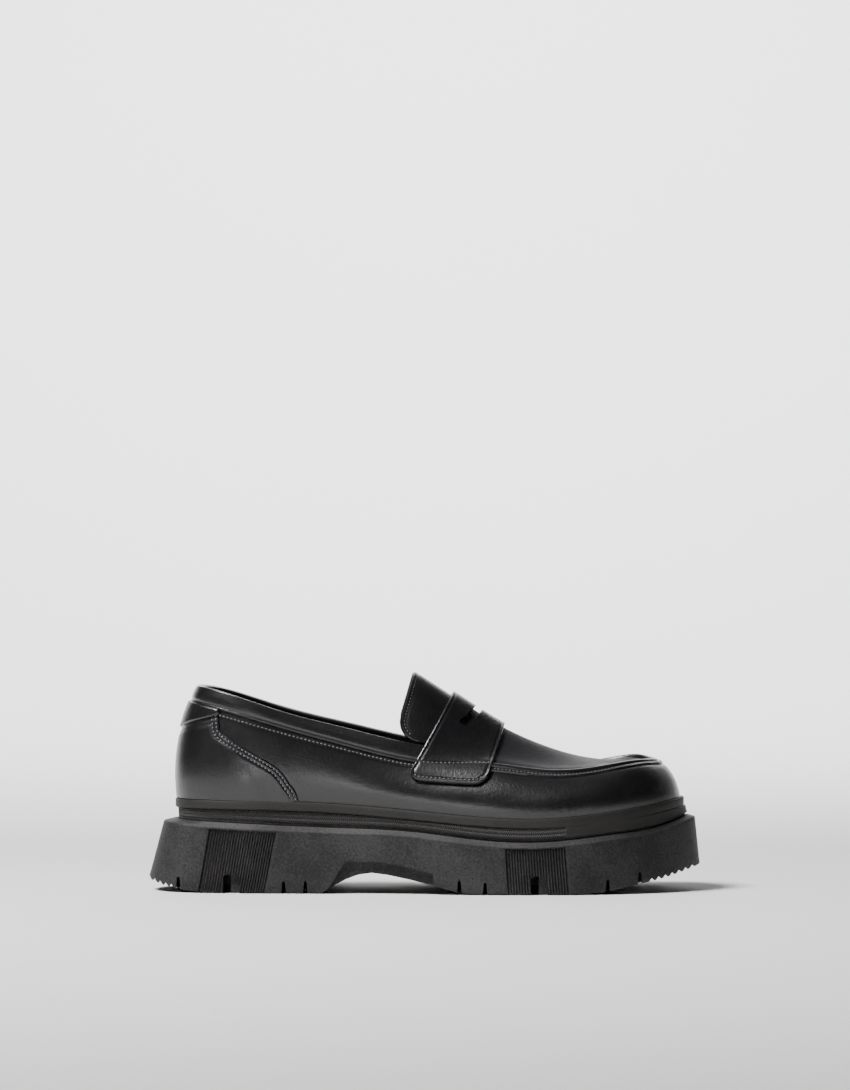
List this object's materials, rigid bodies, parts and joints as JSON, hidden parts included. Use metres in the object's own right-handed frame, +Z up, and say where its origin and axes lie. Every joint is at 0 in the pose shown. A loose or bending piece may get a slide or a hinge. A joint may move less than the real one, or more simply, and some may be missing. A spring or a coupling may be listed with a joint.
{
  "type": "loafer",
  "caption": "Chunky black slip-on loafer with a thick lugged rubber sole, a raised apron seam and a slotted saddle strap over the instep.",
  "frame": {"origin": "on the floor, under the middle of the shoe's box", "axes": "+X from heel to toe, +Z up, +Y towards the inner side of the foot"},
  "size_m": [0.3115, 0.1166, 0.1234],
  "materials": {
    "black_leather": "smooth, semi-gloss",
    "lining_leather": "matte",
    "midsole_rubber": "matte, textured band",
    "sole_rubber": "matte, fine grain"
  },
  "bodies": {
    "root": {"outsole": "sole_rubber", "midsole": "midsole_rubber", "insole": "lining_leather", "upper": "black_leather", "tongue": "black_leather", "saddle_strap": "black_leather", "heel_counter": "black_leather", "heel_tab": "black_leather", "collar_band": "black_leather", "collar_binding": "black_leather"}
  },
  "joints": []
}
